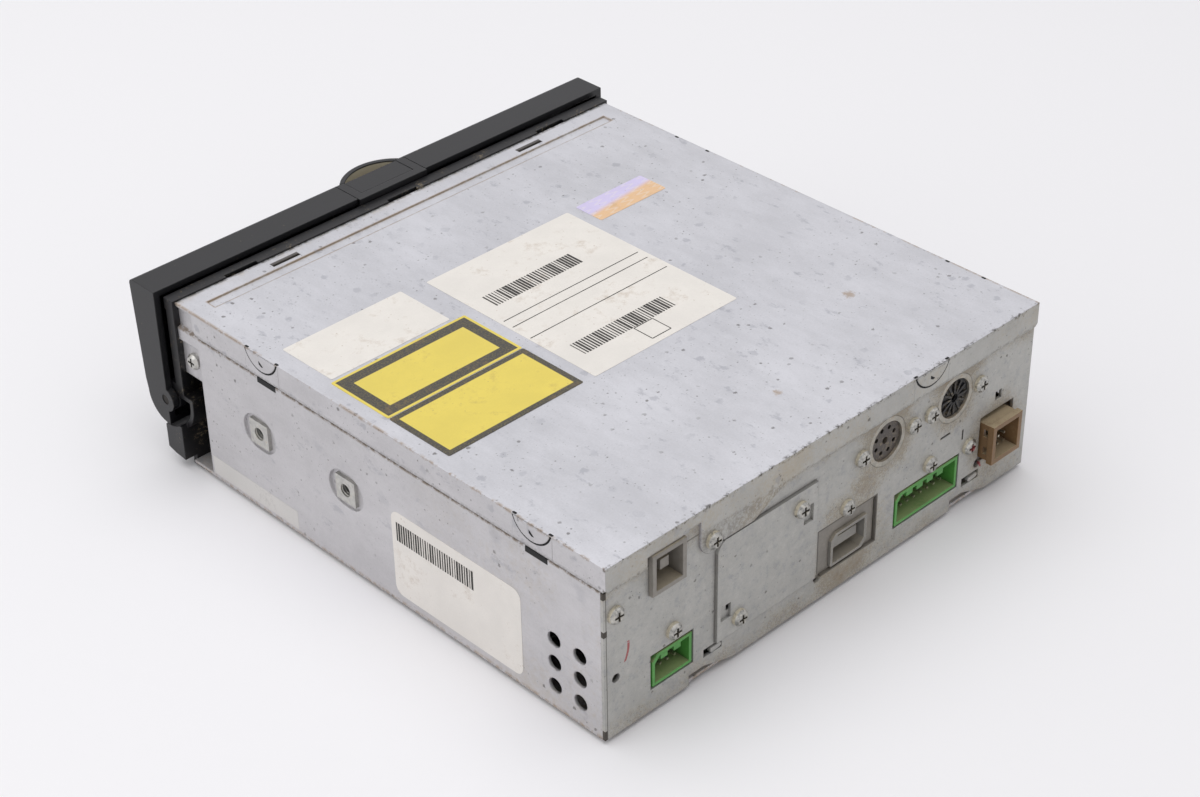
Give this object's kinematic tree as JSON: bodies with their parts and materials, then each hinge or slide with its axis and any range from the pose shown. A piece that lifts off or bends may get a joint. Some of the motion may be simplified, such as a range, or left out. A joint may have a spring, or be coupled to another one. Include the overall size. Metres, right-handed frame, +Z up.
{
  "type": "car navigation disc drive",
  "caption": "Slot-in disc drive for a car: flat plated steel case, folding black front flap with a latch, and a rear panel of keyed sockets.",
  "frame": {"origin": "middle of the part's length and width, on the surface that it stands on", "axes": "+Z up; +Y from the front flap to the rear socket panel; +X towards the side with the label"},
  "size_m": [0.185, 0.2082, 0.062],
  "materials": {
    "plated_steel": "plated sheet",
    "rear_steel": "plated sheet, dusty",
    "inner_steel": "plated sheet",
    "bright_steel": "bright plated",
    "spring_steel": "drawn wire",
    "black_plastic": "satin moulding",
    "socket_green": "moulded",
    "socket_brown": "moulded",
    "socket_grey": "moulded",
    "socket_black": "moulded",
    "nickel": "nickel plated",
    "tin": "tinned pins",
    "board": "coated laminate",
    "chip": "moulded",
    "can": "bare can",
    "rubber": "matt",
    "felt": "felt",
    "gear_white": "moulded",
    "brass": "turned"
  },
  "bodies": {
    "case": {"bezel_frame": "black_plastic", "bezel_screws": "bright_steel", "board_bracket": "inner_steel", "board_capacitors": "can", "board_chips": "chip", "board_screws": "bright_steel", "brown_socket": "socket_brown", "chassis_base": "plated_steel", "clamp_spring": "spring_steel", "damper_bushes": "rubber", "disc_guide": "black_plastic", "eject_switch": "chip", "flap_hinge_pins": "bright_steel", "flap_spring": "spring_steel", "front_board": "board", "gear_axles": "bright_steel", "grey_socket": "socket_grey", "guide_rods": "bright_steel", "large_green_socket": "socket_green", "loading_motor": "can", "main_board": "board", "mech_brackets": "inner_steel", "mech_deck": "inner_steel", "rear_access_plate": "rear_steel", "rear_plate": "rear_steel", "rear_screws": "bright_steel", "ribbon_socket_frame": "nickel", "ribbon_socket_shell": "nickel", "ribbon_socket_tongue": "socket_black", "round_socket_inserts": "socket_black", "round_socket_shells": "nickel", "side_nuts": "bright_steel", "sled_motor": "can", "slot_felts": "felt", "small_green_socket": "socket_green", "socket_board": "board", "socket_contacts": "tin", "spindle_motor": "can", "top_cover": "plated_steel", "traverse_frame": "inner_steel"},
    "flap": {"flap_door": "black_plastic", "latch_pin": "bright_steel", "latch_spring": "spring_steel"},
    "latch": {"flap_latch": "black_plastic"},
    "button": {"eject_button": "black_plastic"},
    "roller_lever": {"roller_arm": "inner_steel"},
    "roller": {"roller_shaft": "bright_steel", "feed_roller": "rubber", "roller_gear": "gear_white"},
    "drive_wheel": {"drive_gear": "gear_white"},
    "idler_wheel": {"idler_gear": "gear_white"},
    "worm": {"motor_worm": "brass"},
    "slider": {"cam_slider": "inner_steel"},
    "clamp_lever": {"clamp_arm": "inner_steel"},
    "puck": {"clamp_puck": "black_plastic"},
    "table": {"turntable": "black_plastic", "turntable_pad": "rubber"},
    "pickup": {"pickup_body": "black_plastic"},
    "lens": {"lens_holder": "black_plastic"},
    "screw": {"lead_screw": "bright_steel"}
  },
  "joints": [
    {"name": "flap_hinge", "type": "hinge", "parent": "case", "child": "flap", "pos_m": [0, -0.0884, 0.0235], "axis": [1, 0, 0], "range_deg": [0, 90], "stiffness_Nm_per_rad": 0.01, "springref_deg": -34.38},
    {"name": "latch_rock", "type": "hinge", "parent": "flap", "child": "latch", "pos_m": [0, -0.0929, 0.0535], "axis": [1, 0, 0], "range_deg": [0, 7], "stiffness_Nm_per_rad": 0.006, "springref_deg": -22.92},
    {"name": "button_push", "type": "slide", "parent": "case", "child": "button", "axis": [0, 1, 0], "range_m": [0, 0.0015], "stiffness_N_per_m": 300, "springref_m": -0.001},
    {"name": "cam_slide", "type": "slide", "parent": "case", "child": "slider", "axis": [0, 1, 0], "range_m": [0, 0.01]},
    {"name": "roller_lift", "type": "hinge", "parent": "case", "child": "roller_lever", "pos_m": [0, -0.0439, 0.0255], "axis": [1, 0, 0], "range_deg": [0, 10.35]},
    {"name": "clamp_lift", "type": "hinge", "parent": "case", "child": "clamp_lever", "pos_m": [0, 0.0521, 0.043], "axis": [1, 0, 0], "range_deg": [0, 3.6]},
    {"name": "worm_spin", "type": "hinge", "parent": "case", "child": "worm", "pos_m": [-0.0745, -0.0542, 0.02835], "axis": [0, 1, 0], "continuous": true},
    {"name": "idler_spin", "type": "hinge", "parent": "case", "child": "idler_wheel", "pos_m": [-0.072, -0.0542, 0.04165], "axis": [1, 0, 0], "continuous": true},
    {"name": "drive_spin", "type": "hinge", "parent": "case", "child": "drive_wheel", "pos_m": [-0.07, -0.0632, 0.04165], "axis": [1, 0, 0], "continuous": true},
    {"name": "roller_spin", "type": "hinge", "parent": "roller_lever", "child": "roller", "pos_m": [0, -0.0659, 0.0312], "axis": [1, 0, 0], "continuous": true},
    {"name": "table_spin", "type": "hinge", "parent": "case", "child": "table", "pos_m": [0, -0.0039, 0.0345], "axis": [0, 0, 1], "continuous": true},
    {"name": "puck_spin", "type": "hinge", "parent": "clamp_lever", "child": "puck", "pos_m": [0, -0.0039, 0.0405], "axis": [0, 0, 1], "continuous": true},
    {"name": "pickup_slide", "type": "slide", "parent": "case", "child": "pickup", "axis": [0, 1, 0], "range_m": [0, 0.034]},
    {"name": "screw_spin", "type": "hinge", "parent": "case", "child": "screw", "pos_m": [-0.028, 0.0181, 0.0227], "axis": [0, 1, 0], "range_deg": [-1, 4081]},
    {"name": "lens_focus", "type": "slide", "parent": "pickup", "child": "lens", "axis": [0, 0, 1], "range_m": [-0.0005, 0.0005], "stiffness_N_per_m": 25, "springref_m": 0.00006}
  ],
  "couplings": [
    {"joint": "roller_lift", "follows": "cam_slide", "rad_per_m": 17.977},
    {"joint": "clamp_lift", "follows": "cam_slide", "rad_per_m": 6.2483},
    {"joint": "drive_spin", "follows": "roller_spin", "ratio": -1},
    {"joint": "idler_spin", "follows": "roller_spin", "ratio": 1.5},
    {"joint": "worm_spin", "follows": "roller_spin", "ratio": 54},
    {"joint": "table_spin", "follows": "puck_spin", "ratio": 1},
    {"joint": "screw_spin", "follows": "pickup_slide", "rad_per_m": 2094.4}
  ]
}
